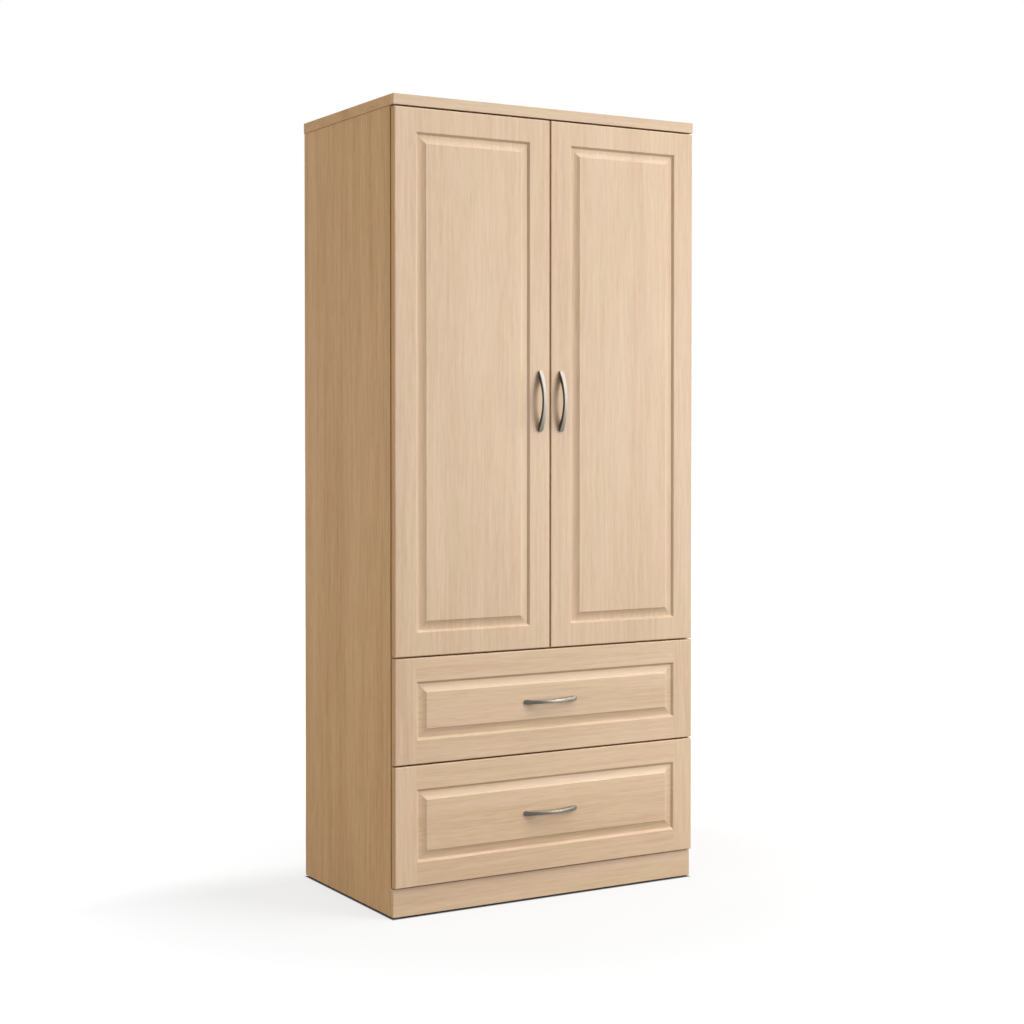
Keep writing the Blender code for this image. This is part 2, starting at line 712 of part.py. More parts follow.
def build_drawer(level, bottom, top, box_low, box_height):
    """A raised front, a grooved box, and a fixed, a middle and a moving slide member on each side."""
    axis = pivot(f"{level}_drawer_axis", (0, FACE, (bottom + top) / 2))
    middle_axis = pivot(f"{level}_slides_axis", (0, CARCASS_FRONT, (bottom + top) / 2))
    front = raised_front(f"{level}_drawer_front", -DOOR_EDGE, DOOR_EDGE, bottom, top)
    handle = bow_handle(f"handle_{level}_drawer", 0.0, (bottom + top) / 2, False)
    box_outer = SIDE_INNER - SLIDE_SPACE
    box_inner = box_outer - BOX_SIDE
    box_front = FRONT_BACK + TOUCH
    box_rear = box_front + BOX_LENGTH
    moving = [front, handle]
    slide_z = box_low + box_height / 2
    for side, sign in SIDES:
        groove_low = BOX_GROOVE_UP
        groove_high = BOX_GROOVE_UP + BOX_GROOVE
        groove_back = box_inner + BOX_GROOVE_DEPTH
        outline = [
            (box_outer, 0.0),
            (box_outer, box_height),
            (box_inner, box_height),
            (box_inner, groove_high),
            (groove_back, groove_high),
            (groove_back, groove_low),
            (box_inner, groove_low),
            (box_inner, 0.0),
        ]
        placed = [(sign * u, v) for u, v in outline]
        centre = (0, (box_front + box_rear) / 2, box_low)
        moving.append(
            extruded(f"{level}_drawer_side_{side}", [placed], BOX_LENGTH, centre, "Y", MELAMINE)
        )
        channel(f"{level}_slide_fixed_{side}", SLIDE_FIXED, slide_z, sign)
        middle = channel(f"{level}_slide_middle_{side}", SLIDE_MIDDLE, slide_z, sign)
        hang_on(middle_axis, middle)
        moving.append(channel(f"{level}_slide_moving_{side}", SLIDE_MOVING, slide_z, sign))
    sheet_low = box_low + BOX_GROOVE_UP + (BOX_GROOVE - BOX_BOTTOM_SHEET) / 2
    sheet_high = sheet_low + BOX_BOTTOM_SHEET
    sheet_edge = box_inner + BOX_GROOVE_DEPTH - 2 * TOUCH
    moving.append(
        box(
            f"{level}_drawer_bottom",
            (-sheet_edge, box_front, sheet_low),
            (sheet_edge, box_rear, sheet_high),
            HARDBOARD,
        )
    )
    moving.append(
        box(
            f"{level}_drawer_back",
            (-box_inner + TOUCH, box_rear - BOX_SIDE, sheet_high + TOUCH),
            (box_inner - TOUCH, box_rear, box_low + box_height),
            MELAMINE,
        )
    )
    hang_on(axis, *moving)


build_carcass()
build_rail()
for door_side, door_sign in SIDES:
    build_door(door_side, door_sign)
build_drawer("upper", UPPER_BOTTOM, UPPER_TOP, *UPPER_BOX)
build_drawer("lower", LOWER_BOTTOM, LOWER_TOP, *LOWER_BOX)
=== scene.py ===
import math

import bmesh
import bpy
from mathutils import Matrix, Vector


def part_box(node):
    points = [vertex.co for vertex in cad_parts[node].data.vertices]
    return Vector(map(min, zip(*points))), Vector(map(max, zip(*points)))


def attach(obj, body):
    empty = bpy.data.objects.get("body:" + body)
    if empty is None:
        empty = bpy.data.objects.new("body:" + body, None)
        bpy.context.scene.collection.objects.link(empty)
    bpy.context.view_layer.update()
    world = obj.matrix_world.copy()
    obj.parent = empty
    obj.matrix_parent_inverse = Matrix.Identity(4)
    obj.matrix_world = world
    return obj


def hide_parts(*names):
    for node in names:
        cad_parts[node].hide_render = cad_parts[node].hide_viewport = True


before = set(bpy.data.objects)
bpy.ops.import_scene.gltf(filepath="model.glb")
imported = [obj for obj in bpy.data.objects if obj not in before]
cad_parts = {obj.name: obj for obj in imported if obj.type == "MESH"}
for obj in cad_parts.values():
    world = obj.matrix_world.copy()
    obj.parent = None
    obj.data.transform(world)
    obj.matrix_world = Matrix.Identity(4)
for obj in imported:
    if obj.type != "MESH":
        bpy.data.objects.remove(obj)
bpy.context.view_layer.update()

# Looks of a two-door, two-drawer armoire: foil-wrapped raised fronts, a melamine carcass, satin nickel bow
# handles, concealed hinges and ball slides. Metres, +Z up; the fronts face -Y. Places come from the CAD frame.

SIDES = (("left", -1), ("right", 1))  # with the sign of X
LEVELS = ("upper", "lower")
HINGES = ("bottom", "middle", "top")
MM = 0.001


# ---------------------------------------------------------------- meshes and pieces
SMOOTH_ANGLE = 35.0  # degrees; hardware edges over this stay sharp
WELD_DISTANCE = 0.01 * MM
FLAT_ANGLE = 1.0  # degrees; CAD faces this close to one plane become one face
CORNER_ANGLE = 50.0  # degrees; CAD edges over this are eased


def piece(name, bm, material, body, slot, *replaced):
    """A new mesh piece that rides on a CAD body."""
    mesh = bpy.data.meshes.new(name)
    bm.to_mesh(mesh)
    bm.free()
    obj = bpy.data.objects.new(name, mesh)
    bpy.context.scene.collection.objects.link(obj)
    mesh.materials.append(material)
    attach(obj, body)
    if replaced:
        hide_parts(*replaced)
    return obj


def face_outward(bm):
    bmesh.ops.recalc_face_normals(bm, faces=bm.faces)


def hardware(name, bm, material, body, slot, *replaced):
    """A piece of hardware: smooth, except at its sharp edges."""
    face_outward(bm)
    obj = piece(name, bm, material, body, slot, *replaced)
    obj.data.shade_smooth()
    obj.data.set_sharp_from_angle(angle=math.radians(SMOOTH_ANGLE))


def dress(node, material):
    """Gives a CAD node its material and returns the node."""
    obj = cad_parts[node]
    obj.material_slots[0].material = material
    return obj


def ease_edges(obj, width, segments=2):
    """Slightly rounded edges on a CAD board or slide, whose own mesh stays as it is."""
    weld = obj.modifiers.new("weld", "WELD")
    weld.merge_threshold = WELD_DISTANCE
    flat = obj.modifiers.new("flat_faces", "DECIMATE")
    flat.decimate_type = "DISSOLVE"
    flat.angle_limit = math.radians(FLAT_ANGLE)
    bevel = obj.modifiers.new("eased_edges", "BEVEL")
    bevel.width = width
    bevel.segments = segments
    bevel.limit_method = "ANGLE"
    bevel.angle_limit = math.radians(CORNER_ANGLE)
    bevel.harden_normals = True


def arc(centre, radius, start, end, steps):
    """Points on an arc in a plane; angles in degrees."""
    angles = [math.radians(start + (end - start) * i / steps) for i in range(steps + 1)]
    return [(centre[0] + radius * math.cos(a), centre[1] + radius * math.sin(a)) for a in angles]


def slot_outline(straight, radius, steps):
    """A rounded slot, upright in its plane, with end centres at straight above and below the middle."""
    return arc((0, straight), radius, 0, 180, steps) + arc((0, -straight), radius, 180, 360, steps)


def bridge(bm, rings):
    """Faces between rings of vertices; a ring of one vertex is a point on the axis."""
    for first, second in zip(rings, rings[1:]):
        count = max(len(first), len(second))
        for i in range(count):
            j = (i + 1) % count
            ends = (first[i % len(first)], first[j % len(first)])
            ends += (second[j % len(second)], second[i % len(second)])
            corners = list(dict.fromkeys(ends))
            if len(corners) > 2:
                bm.faces.new(corners)


def loft(bm, loops, close_ends=True):
    """Joins loops of equal length by quads, and closes the two ends."""
    rings = [[bm.verts.new(p) for p in loop] for loop in loops]
    bridge(bm, rings)
    if close_ends:
        bm.faces.new(rings[0][::-1])
        bm.faces.new(rings[-1])
    return rings


def circle(radius, height, segments):
    """Points round local Z, or the one point on it if radius is 0."""
    if radius == 0.0:
        return [Vector((0, 0, height))]
    angles = [2 * math.pi * i / segments for i in range(segments)]
    return [Vector((radius * math.cos(a), radius * math.sin(a), height)) for a in angles]


def turned(bm, profile, matrix, segments):
    """A solid of revolution round local Z. Profile is (radius, height) points, from axis to axis or closed."""
    rings = [[bm.verts.new(matrix @ p) for p in circle(*point, segments)] for point in profile]
    bridge(bm, rings)


def block(bm, centre, size):
    corners = bmesh.ops.create_cube(bm, size=1.0)["verts"]
    matrix = Matrix.Translation(centre) @ Matrix.Diagonal((*size, 1.0))
    bmesh.ops.transform(bm, matrix=matrix, verts=corners)


def toward(direction, location):
    """A matrix that turns local +Z to direction and moves to location."""
    rotation = Vector((0, 0, 1)).rotation_difference(Vector(direction)).to_matrix().to_4x4()
    return Matrix.Translation(location) @ rotation


def middle_of(node):
    low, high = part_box(node)
    return (low + high) / 2


# ---------------------------------------------------------------- materials
class Shader:
    """A material's node tree with short calls for the nodes used here."""

    def __init__(self, name, **values):
        self.material = bpy.data.materials.new(name)
        self.material.use_nodes = True
        self.tree = self.material.node_tree
        self.surface = self.tree.nodes["Principled BSDF"]
        for socket, value in values.items():
            self.surface.inputs[socket.replace("_", " ")].default_value = value
        self.coordinates = self.tree.nodes.new("ShaderNodeTexCoord")
        self.place = self.coordinates.outputs["Object"]

    def node(self, kind, inputs=(), **settings):
        made = self.tree.nodes.new(kind)
        for key, value in settings.items():
            setattr(made, key, value)
        for socket, value in dict(inputs).items():
            self.feed(made.inputs[socket], value)
        return made

    def feed(self, socket, value):
        if isinstance(value, bpy.types.NodeSocket):
            self.tree.links.new(value, socket)
        else:
            socket.default_value = value

    def paint(self, colour, roughness):
        self.feed(self.surface.inputs["Base Color"], colour)
        self.feed(self.surface.inputs["Roughness"], roughness)

    def math(self, operation, a, b):
        return self.node("ShaderNodeMath", {0: a, 1: b}, operation=operation).outputs[0]

    def absolute(self, value):
        return self.node("ShaderNodeMath", {0: value}, operation="ABSOLUTE").outputs[0]

    def vector(self, operation, *values, result=0):
        return self.node("ShaderNodeVectorMath", dict(enumerate(values)), operation=operation).outputs[result]

    def axes(self, vector):
        return self.node("ShaderNodeSeparateXYZ", {0: vector}).outputs

    def ramp(self, value, stops):
        """Colour stops as (place, colour) pairs."""
        made = self.node("ShaderNodeValToRGB", {0: value})
        points = made.color_ramp.elements
        while len(points) < len(stops):
            points.new(0.5)
        for point, (place, colour) in zip(points, stops):
            point.position = place
            point.color = (*colour, 1.0)
        return made.outputs[0]

    def span(self, value, low, high, to_low=0.0, to_high=1.0, smooth=False):
        """Maps low..high to to_low..to_high, and holds the end values beyond them."""
        kind = "SMOOTHSTEP" if smooth else "LINEAR"
        inputs = {0: value, 1: low, 2: high, 3: to_low, 4: to_high}
        return self.node("ShaderNodeMapRange", inputs, interpolation_type=kind).outputs[0]

    def noise(self, vector, scale, detail=2.0, roughness=0.5):
        """Noise with a different scale along each axis; the middle value is 0.5."""
        stretched = self.node("ShaderNodeMapping", {0: vector, 3: scale}).outputs[0]
        made = self.node("ShaderNodeTexNoise", {0: stretched, 2: 1.0, 3: detail, 4: roughness})
        return made.outputs[0]

    def flakes(self, scale, channel):
        """A random value for each cell of a pattern of small cells."""
        cells = self.node("ShaderNodeTexVoronoi", {0: self.place, "Scale": scale}).outputs["Color"]
        return self.node("ShaderNodeSeparateColor", {0: cells}).outputs[channel]

    def mix(self, share, first, second, blend="MIX"):
        """Mixes two colours, each a socket or three numbers."""
        made = self.node("ShaderNodeMix", data_type="RGBA", blend_type=blend)
        self.feed(made.inputs[0], share)
        for socket, colour in ((made.inputs[6], first), (made.inputs[7], second)):
            self.feed(socket, colour if isinstance(colour, bpy.types.NodeSocket) else (*colour, 1.0))
        return made.outputs[2]

    def facing(self, direction):
        """1 on flat faces that look in a direction, and 0 elsewhere."""
        match = self.vector("DOT_PRODUCT", self.coordinates.outputs["Normal"], direction, result="Value")
        return self.span(match, 0.80, 0.84)

    def bump(self, height, distance, strength):
        made = self.node("ShaderNodeBump", {0: strength, 1: distance, "Height": height})
        self.feed(self.surface.inputs["Normal"], made.outputs[0])


def even(scale):
    """The same noise scale along the three axes."""
    return (scale, scale, scale)


# A palette is a dark, a middle and a light tone. A gloss is a roughness and a specular level.
FOIL = ((0.448, 0.297, 0.176), (0.536, 0.381, 0.246), (0.599, 0.442, 0.302))
FOIL_GLOSS = (0.42, 0.50)
# The tint makes the foil on the fronts' outer sides darker and warmer: painted shade, for sides and gaps that lie
# mostly in shade.
EDGE_SHADE_TINT = (1.0, 0.82, 0.60)
EDGE_GLOSS = (0.65, 0.12)
MELAMINE = ((0.438, 0.242, 0.106), (0.590, 0.362, 0.180), (0.688, 0.451, 0.242))
MELAMINE_GLOSS = (0.60, 0.15)
CHIPS = ((0.20, 0.125, 0.065), (0.42, 0.29, 0.17), (0.56, 0.42, 0.27))
CHIPS_ROUGHNESS = 0.85
CUT_END_ROUGHNESS = 0.75
STILE_SEAM = 3 * MM  # half the width over which level grain turns upright
GRAIN_ORDER = {"X": (1, 2, 0), "Y": (0, 2, 1), "Z": (0, 1, 2)}  # axes across, through and along the grain


# A palette made lighter or darker by a share. It paints light: the lower fronts and the plinth are lightened and
# the top lipping is darkened, where the lights fall unevenly on them.
def painted_light_palette(palette, share):
    return [[c * share for c in tone] for tone in palette]


def grain_layers(shader, direction, shift):
    """Tone, warmth, fibre and pore values of straight grain along an axis; shift moves the pattern."""
    place = shader.axes(shader.place)
    across, deep, along = (place[i] for i in GRAIN_ORDER[direction])
    straight = shader.node("ShaderNodeCombineXYZ", {0: across, 1: deep, 2: along}).outputs[0]
    moved = shader.node("ShaderNodeMapping", {0: straight, 1: (shift, 0.37 * shift, 0.61 * shift)}).outputs[0]
    sway = shader.noise(moved, (7.0, 7.0, 1.3), 1.0)
    swayed = shader.math("MULTIPLY", shader.math("SUBTRACT", sway, 0.5), 0.012)
    bent = shader.node("ShaderNodeCombineXYZ", {0: swayed, 1: swayed}).outputs[0]
    field = shader.vector("ADD", moved, bent)
    bands = shader.noise(field, (14.0, 14.0, 0.9), 2.0)
    streaks = shader.noise(field, (120.0, 120.0, 4.0), 3.0, 0.62)
    dashes = shader.noise(field, (260.0, 260.0, 20.0), 2.0, 0.6)
    fibre = shader.noise(field, (700.0, 700.0, 12.0), 2.0, 0.6)
    pores = shader.noise(field, (900.0, 900.0, 38.0), 1.0)
    tone = None
    for layer, weight in ((bands, 0.45), (streaks, 0.50), (dashes, 0.38), (fibre, 0.35)):
        part = shader.math("MULTIPLY", shader.math("SUBTRACT", layer, 0.5), weight)
        tone = part if tone is None else shader.math("ADD", tone, part)
    warmth = shader.noise(field, (38.0, 38.0, 3.5), 2.0)
    return shader.math("ADD", tone, 0.5), warmth, fibre, shader.span(pores, 0.62, 0.74)


def framed_layers(shader, layers, stiles, shift):
    """The grain values with the grain upright beyond stiles, a distance from the middle along X."""
    from_middle = shader.absolute(shader.axes(shader.place)[0])
    share = shader.span(from_middle, stiles - STILE_SEAM, stiles + STILE_SEAM, smooth=True)
    values = []
    for level, upright in zip(layers, grain_layers(shader, "Z", 1.3 * shift)):
        change = shader.math("MULTIPLY", shader.math("SUBTRACT", upright, level), share)
        values.append(shader.math("ADD", level, change))
    return values


def wood(name, grain, palette, shift, gloss, raw=None, stiles=None, dull_ends=False):
    """Fine straight wood grain printed on foil or melamine, running along an axis.

    Faces that look in the direction raw are left as bare chipboard. For stiles, see framed_layers. With dull_ends,
    a board's left and right end faces take mostly the melamine's middle tone and are rougher.
    """
    shader = Shader(name, Specular_IOR_Level=gloss[1])
    layers = grain_layers(shader, grain, shift)
    if stiles:
        layers = framed_layers(shader, layers, stiles, shift)
    tone, warmth, fibre, pore = layers
    colour = shader.ramp(tone, list(zip((0.22, 0.52, 0.78), palette)))
    warm = shader.span(warmth, 0.35, 0.65)
    tint = shader.ramp(warm, [(0.0, (0.985, 1.0, 0.965)), (1.0, (1.0, 0.975, 1.0))])
    colour = shader.mix(1.0, colour, tint, "MULTIPLY")
    colour = shader.mix(shader.math("MULTIPLY", pore, 0.30), colour, palette[0])
    roughness = shader.span(fibre, 0.3, 0.7, gloss[0] - 0.03, gloss[0] + 0.05)
    height = shader.math("SUBTRACT", fibre, shader.math("MULTIPLY", pore, 0.7))
    if raw:
        bare = shader.facing(raw)
        chips = shader.ramp(shader.flakes(420.0, 0), list(zip((0.0, 0.5, 1.0), CHIPS)))
        colour = shader.mix(bare, colour, chips)
        roughness = shader.math("MAXIMUM", roughness, shader.math("MULTIPLY", bare, CHIPS_ROUGHNESS))
    if dull_ends:
        ends = shader.math("ADD", shader.facing((1, 0, 0)), shader.facing((-1, 0, 0)))
        colour = shader.mix(shader.math("MULTIPLY", ends, 0.85), colour, MELAMINE[1])
        roughness = shader.math("MAXIMUM", roughness, shader.math("MULTIPLY", ends, CUT_END_ROUGHNESS))
    shader.paint(colour, roughness)
    shader.bump(height, 0.05 * MM, 0.35)
    return shader.material


def hardboard(name, printed, print_scale):
    """Pressed fibre sheet: a wood-print face towards printed, and bare brown fibre on the other faces."""
    shader = Shader(name, Roughness=0.7)
    fuzz = shader.noise(shader.place, even(260.0), 4.0, 0.7)
    cloud = shader.noise(shader.place, even(9.0), 3.0)
    brown = shader.ramp(
        shader.math("ADD", shader.math("MULTIPLY", fuzz, 0.6), shader.math("MULTIPLY", cloud, 0.4)),
        [(0.30, (0.205, 0.115, 0.058)), (0.50, (0.290, 0.175, 0.095)), (0.70, (0.365, 0.232, 0.135))],
    )
    streak = shader.noise(shader.place, print_scale, 3.0, 0.6)
    print_colour = shader.ramp(streak, list(zip((0.25, 0.5, 0.75), MELAMINE)))
    share = shader.facing(printed)
    shader.paint(shader.mix(share, brown, print_colour), shader.span(share, 0.0, 1.0, 0.82, 0.48))
    shader.bump(fuzz, 0.08 * MM, 0.6)
    return shader.material


def metal(name, colour, roughness, brush, spread=0.08, spangle=0.0, painted_shade_sides=None):
    """A metal with fine brush lines along an axis and slightly uneven gloss.

    The last argument is a direction: flat faces that look along it, either way, get painted shade. This is a much
    darker tone that stands in for the shade and dark reflections on a handle's sides.
    """
    shader = Shader(name, Metallic=1.0)
    scale = [2600.0, 2600.0, 2600.0]
    scale["XYZ".index(brush)] = 60.0
    lines = shader.noise(shader.place, tuple(scale), 2.0, 0.6)
    cloud = shader.noise(shader.place, even(45.0), 3.0)
    uneven = shader.math("ADD", shader.math("MULTIPLY", lines, 0.5), shader.math("MULTIPLY", cloud, 0.5))
    dark = tuple(c * 0.88 for c in colour)
    light = tuple(min(1.0, c * 1.06) for c in colour)
    tint = shader.ramp(uneven, [(0.3, dark), (0.5, colour), (0.7, light)])
    if spangle:
        tint = shader.mix(shader.math("MULTIPLY", shader.flakes(260.0, 1), spangle), tint, dark)
    # Painted shade: faces along the given direction, either way, take 30 % of the colour.
    if painted_shade_sides:
        opposite = tuple(-c for c in painted_shade_sides)
        edges = shader.math("ADD", shader.facing(painted_shade_sides), shader.facing(opposite))
        tint = shader.mix(edges, tint, tuple(c * 0.30 for c in colour))
    shader.paint(tint, shader.span(uneven, 0.3, 0.7, roughness - spread / 2, roughness + spread / 2))
    shader.bump(lines, 0.01 * MM, 0.4)
    return shader.material


def plastic(name, colour, roughness):
    """Moulded plastic with a fine texture and slightly uneven tone."""
    shader = Shader(name)
    grain = shader.noise(shader.place, even(1500.0), 2.0)
    cloud = shader.noise(shader.place, even(60.0), 2.0)
    dark = tuple(c * 0.85 for c in colour)
    tone = shader.ramp(cloud, [(0.35, dark), (0.65, colour)])
    shader.paint(tone, shader.span(cloud, 0.35, 0.65, roughness - 0.05, roughness + 0.05))
    shader.bump(grain, 0.03 * MM, 0.5)
    return shader.material


SHADED_EDGE_PALETTE = [[c * t for c, t in zip(tone, EDGE_SHADE_TINT)] for tone in FOIL]
FOIL_EDGE_SHADED = wood("foil_edge_painted_shade", "Z", SHADED_EDGE_PALETTE, 61.0, EDGE_GLOSS)
BACK_BOARD = hardboard("hardboard_back", (0, -1, 0), (130.0, 130.0, 2.5))
BOTTOM_BOARD = hardboard("hardboard_bottom", (0, 0, 1), (2.5, 130.0, 130.0))
# The drawer handles' nickel (X) is a darker copy of the door handles' (Z): painted shade, for the darker
# reflections on the drawer handles. The door handles' sides also get painted shade.
NICKEL = {
    "X": metal("satin_nickel_X", (0.33, 0.305, 0.265), 0.40, "X"),
    "Z": metal("satin_nickel_Z", (0.45, 0.415, 0.36), 0.65, "Z", painted_shade_sides=(1, 0, 0)),
}
ZINC = metal("zinc_plate", (0.72, 0.73, 0.74), 0.34, "Y", spangle=0.35)
CHROME = metal("chrome_plate", (0.83, 0.83, 0.84), 0.09, "X", spread=0.04)
FOOT_PLASTIC = plastic("foot_plastic", (0.030, 0.020, 0.014), 0.55)


# ---------------------------------------------------------------- raised fronts
BACK_CHAMFER = 0.5 * MM
EDGE_RADIUS = 2.2 * MM
FRAME_WIDTH = 54.4 * MM
EASE_RADIUS = 3.0 * MM  # the frame's inner edge
SLOPE_ANGLE = 43.0  # of the slope down to the groove
GROOVE_DEPTH = 4.8 * MM
COVE_START = 6.6 * MM  # this and the next two are distances from the frame's inner edge
COVE_END = 26.2 * MM
FIELD_EDGE = 26.8 * MM
COVE_POWER = 2.4
COVE_STEPS = 14
FIELD_STEP = 0.6 * MM
MOULDING_SMOOTH_ANGLE = 32.0
CUP_SEGMENTS = 48
CUP_PLAY = 0.3 * MM  # between a cup and its seat


def front_profile(thickness):
    """(inset from the outline, depth behind the face) from the back edge, round the outer edge, to the field.

    The frame's eased edge slopes down to a groove, and a cove rises ever steeper to a small step at the field.
    """
    points = [(BACK_CHAMFER, thickness), (0.0, thickness - BACK_CHAMFER)]
    points += arc((EDGE_RADIUS, EDGE_RADIUS), EDGE_RADIUS, 180, 270, 6)
    points += arc((FRAME_WIDTH, EASE_RADIUS), EASE_RADIUS, 270, 270 + SLOPE_ANGLE, 5)
    inset, depth = points[-1]
    points.append((inset + (GROOVE_DEPTH - depth) / math.tan(math.radians(SLOPE_ANGLE)), GROOVE_DEPTH))
    for i in range(COVE_STEPS + 1):
        share = i / COVE_STEPS
        inset = COVE_START + (COVE_END - COVE_START) * share
        points.append((FRAME_WIDTH + inset, GROOVE_DEPTH - (GROOVE_DEPTH - FIELD_STEP) * share**COVE_POWER))
    points.append((FRAME_WIDTH + FIELD_EDGE, 0.0))
    return points


def shade_front(bm, rings, face_y):
    """Smooth moulding with sharp mitres; the outer sides behind the round edge get the second material, the foil
    with painted shade.
    """
    for edge in bm.edges:
        edge.smooth = edge.calc_face_angle(0) < math.radians(MOULDING_SMOOTH_ANGLE)
    for first, second in zip(rings, rings[1:]):
        for start, end in zip(first, second):
            bm.edges.get((start, end)).smooth = False
    for face in bm.faces:
        face.smooth = True
        behind_edge = face.calc_center_median().y > face_y + EDGE_RADIUS
        face.material_index = 1 if behind_edge and abs(face.normal.y) < 0.5 else 0


def raised_front(node, body, material):
    """A door or drawer front, its moulding mitred at the corners."""
    low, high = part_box(node)
    loops = []
    for inset, depth in front_profile(high.y - low.y):
        y = low.y + depth
        x0, x1 = low.x + inset, high.x - inset
        z0, z1 = low.z + inset, high.z - inset
        loops.append(((x0, y, z0), (x1, y, z0), (x1, y, z1), (x0, y, z1)))
    bm = bmesh.new()
    rings = loft(bm, loops)
    face_outward(bm)
    shade_front(bm, rings, low.y)
    front = piece(f"{node}_raised", bm, material, body, "maple_foil", node)
    # The second material: the foil with painted shade, for the outer sides.
    front.data.materials.append(FOIL_EDGE_SHADED)
    normals = front.modifiers.new("even_normals", "WEIGHTED_NORMAL")
    normals.keep_sharp = True
    normals.weight = 100
    return front


def bore_cups(front, cups):
    """Cuts the round seats of the hinge cups out of a door's back."""
    for node in cups:
        low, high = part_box(node)
        centre = Vector(((low.x + high.x) / 2, high.y, (low.z + high.z) / 2))
        radius = (high.x - low.x) / 2 + CUP_PLAY
        bm = bmesh.new()
        depth = 2 * (high.y - low.y)
        bmesh.ops.create_cone(
            bm, cap_ends=True, segments=CUP_SEGMENTS, radius1=radius, radius2=radius, depth=depth
        )
        bmesh.ops.transform(bm, matrix=toward((0, 1, 0), centre), verts=bm.verts)
        mesh = bpy.data.meshes.new("cup_cutter")
        bm.to_mesh(mesh)
        bm.free()
        cutter = bpy.data.objects.new("cup_cutter", mesh)
        bpy.context.scene.collection.objects.link(cutter)
        cut = front.modifiers.new("cup_seat", "BOOLEAN")
        cut.object = cutter
        cut.solver = "EXACT"
        front.modifiers.move(len(front.modifiers) - 1, 0)
        bpy.context.view_layer.update()
        with bpy.context.temp_override(object=front, active_object=front):
            bpy.ops.object.modifier_apply(modifier=cut.name)
        bpy.data.objects.remove(cutter)


# ---------------------------------------------------------------- bow handles
HANDLE_FOOT = 18 * MM
HANDLE_THICKNESS = 8.4 * MM  # at the middle
HANDLE_WAIST = 0.66  # width at the middle as a share of the width near the ends
HANDLE_TIP = 3.5 * MM  # how far the blunt tips stand out of the front
HANDLE_TIP_HALF_WIDTH = 0.25 * MM
HANDLE_SPAN = 0.9995  # share of the handle's full length that the strap covers
HANDLE_CORNER = 0.20  # power of the section's rounded box; 1 is an ellipse
HANDLE_STEPS = 96
HANDLE_SEGMENTS = 24
HANDLE_HOLES = 128 * MM  # between the two screws


def bow(half_span, rise, s):
    """Height at s of an arc over a span."""
    if abs(s) >= half_span:
        return 0.0
    radius = (half_span**2 + rise**2) / (2 * rise)
    return max(0.0, math.sqrt(radius**2 - s**2) - (radius - rise))


def rounded_box(half_width, half_height):
    """Points of a box section with rounded corners."""
    points = []
    for i in range(HANDLE_SEGMENTS):
        angle = 2 * math.pi * i / HANDLE_SEGMENTS
        c, n = math.cos(angle), math.sin(angle)
        u = half_width * math.copysign(abs(c) ** HANDLE_CORNER, c)
        v = half_height * math.copysign(abs(n) ** HANDLE_CORNER, n)
        points.append((u, v))
    return points


def bow_handle(node, body, upright):
    """A crescent strap: it rises in an arc from two feet, narrows to its middle and has rounded tips."""
    low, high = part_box(node)
    centre = (low + high) / 2
    face = high.y
    along, across = (2, 0) if upright else (0, 2)
    half = (high[along] - low[along]) / 2
    reach = high.y - low.y
    end_half_width = (high[across] - low[across]) / 2
    waist_half_width = HANDLE_WAIST * end_half_width
    loops = []
    for i in range(HANDLE_STEPS + 1):
        s = half * HANDLE_SPAN * math.sin(math.pi * (i / HANDLE_STEPS - 0.5))
        outer = HANDLE_TIP + bow(half, reach - HANDLE_TIP, s)
        inner = bow(half - HANDLE_FOOT, reach - HANDLE_THICKNESS, s)
        share = abs(s) / half
        width = waist_half_width + (end_half_width - waist_half_width) * share**2
        into_tip = abs(s) - (half - end_half_width)
        if into_tip > 0:
            width = max(HANDLE_TIP_HALF_WIDTH, math.sqrt(max(0.0, width**2 - into_tip**2)))
        loop = []
        for u, v in rounded_box(width, (outer - inner) / 2):
            point = Vector((0, face - ((outer + inner) / 2 + v), 0))
            point[along] = centre[along] + s
            point[across] = centre[across] + u
            loop.append(point)
        loops.append(loop)
    bm = bmesh.new()
    loft(bm, loops)
    hardware(f"{node}_bow", bm, NICKEL["Z" if upright else "X"], body, "satin_nickel", node)


# ---------------------------------------------------------------- screws
SCREW_RINGS = (0.0, 0.10, 0.22, 0.34, 0.46, 0.58, 0.62, 0.80, 0.94, 1.0)  # shares of the head's radius
SCREW_SEGMENTS = 32
CROSS_REACH = 0.60  # this and the next are shares of the head's radius
CROSS_HALF_WIDTH = 0.11
CROSS_DEPTH = 0.75  # share of the head's height


def screw_head(bm, location, direction, radius, height, turn):
    """A low round head with a cross recess, its axis along direction."""
    matrix = toward(direction, location) @ Matrix.Rotation(math.radians(turn), 4, "Z")
    rings = []
    for share in SCREW_RINGS:
        dome = height * (1.0 - 0.85 * share**2.6)
        ring = []
        for x, y, _ in circle(share, 0.0, SCREW_SEGMENTS):
            in_cross = min(abs(x), abs(y)) < CROSS_HALF_WIDTH and share < CROSS_REACH
            z = dome - (CROSS_DEPTH * height if in_cross else 0.0)
            ring.append(bm.verts.new(matrix @ Vector((radius * x, radius * y, z))))
        rings.append(ring)
    rings.append([bm.verts.new(matrix @ p) for p in circle(radius, 0.0, SCREW_SEGMENTS)])
    bridge(bm, rings)
    bm.faces.new(rings[-1][::-1])


def handle_screws(handle, front, body, upright):
    """Two screw heads on a front's back, one behind each foot of its handle."""
    bm = bmesh.new()
    for end in (-1, 1):
        spot = middle_of(handle)
        spot.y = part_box(front)[1].y
        spot[2 if upright else 0] += end * HANDLE_HOLES / 2
        screw_head(bm, spot, (0, 1, 0), 4.4 * MM, 2.6 * MM, 35 + 20 * end)
    hardware(f"{handle}_screws", bm, ZINC, body, "zinc_steel")


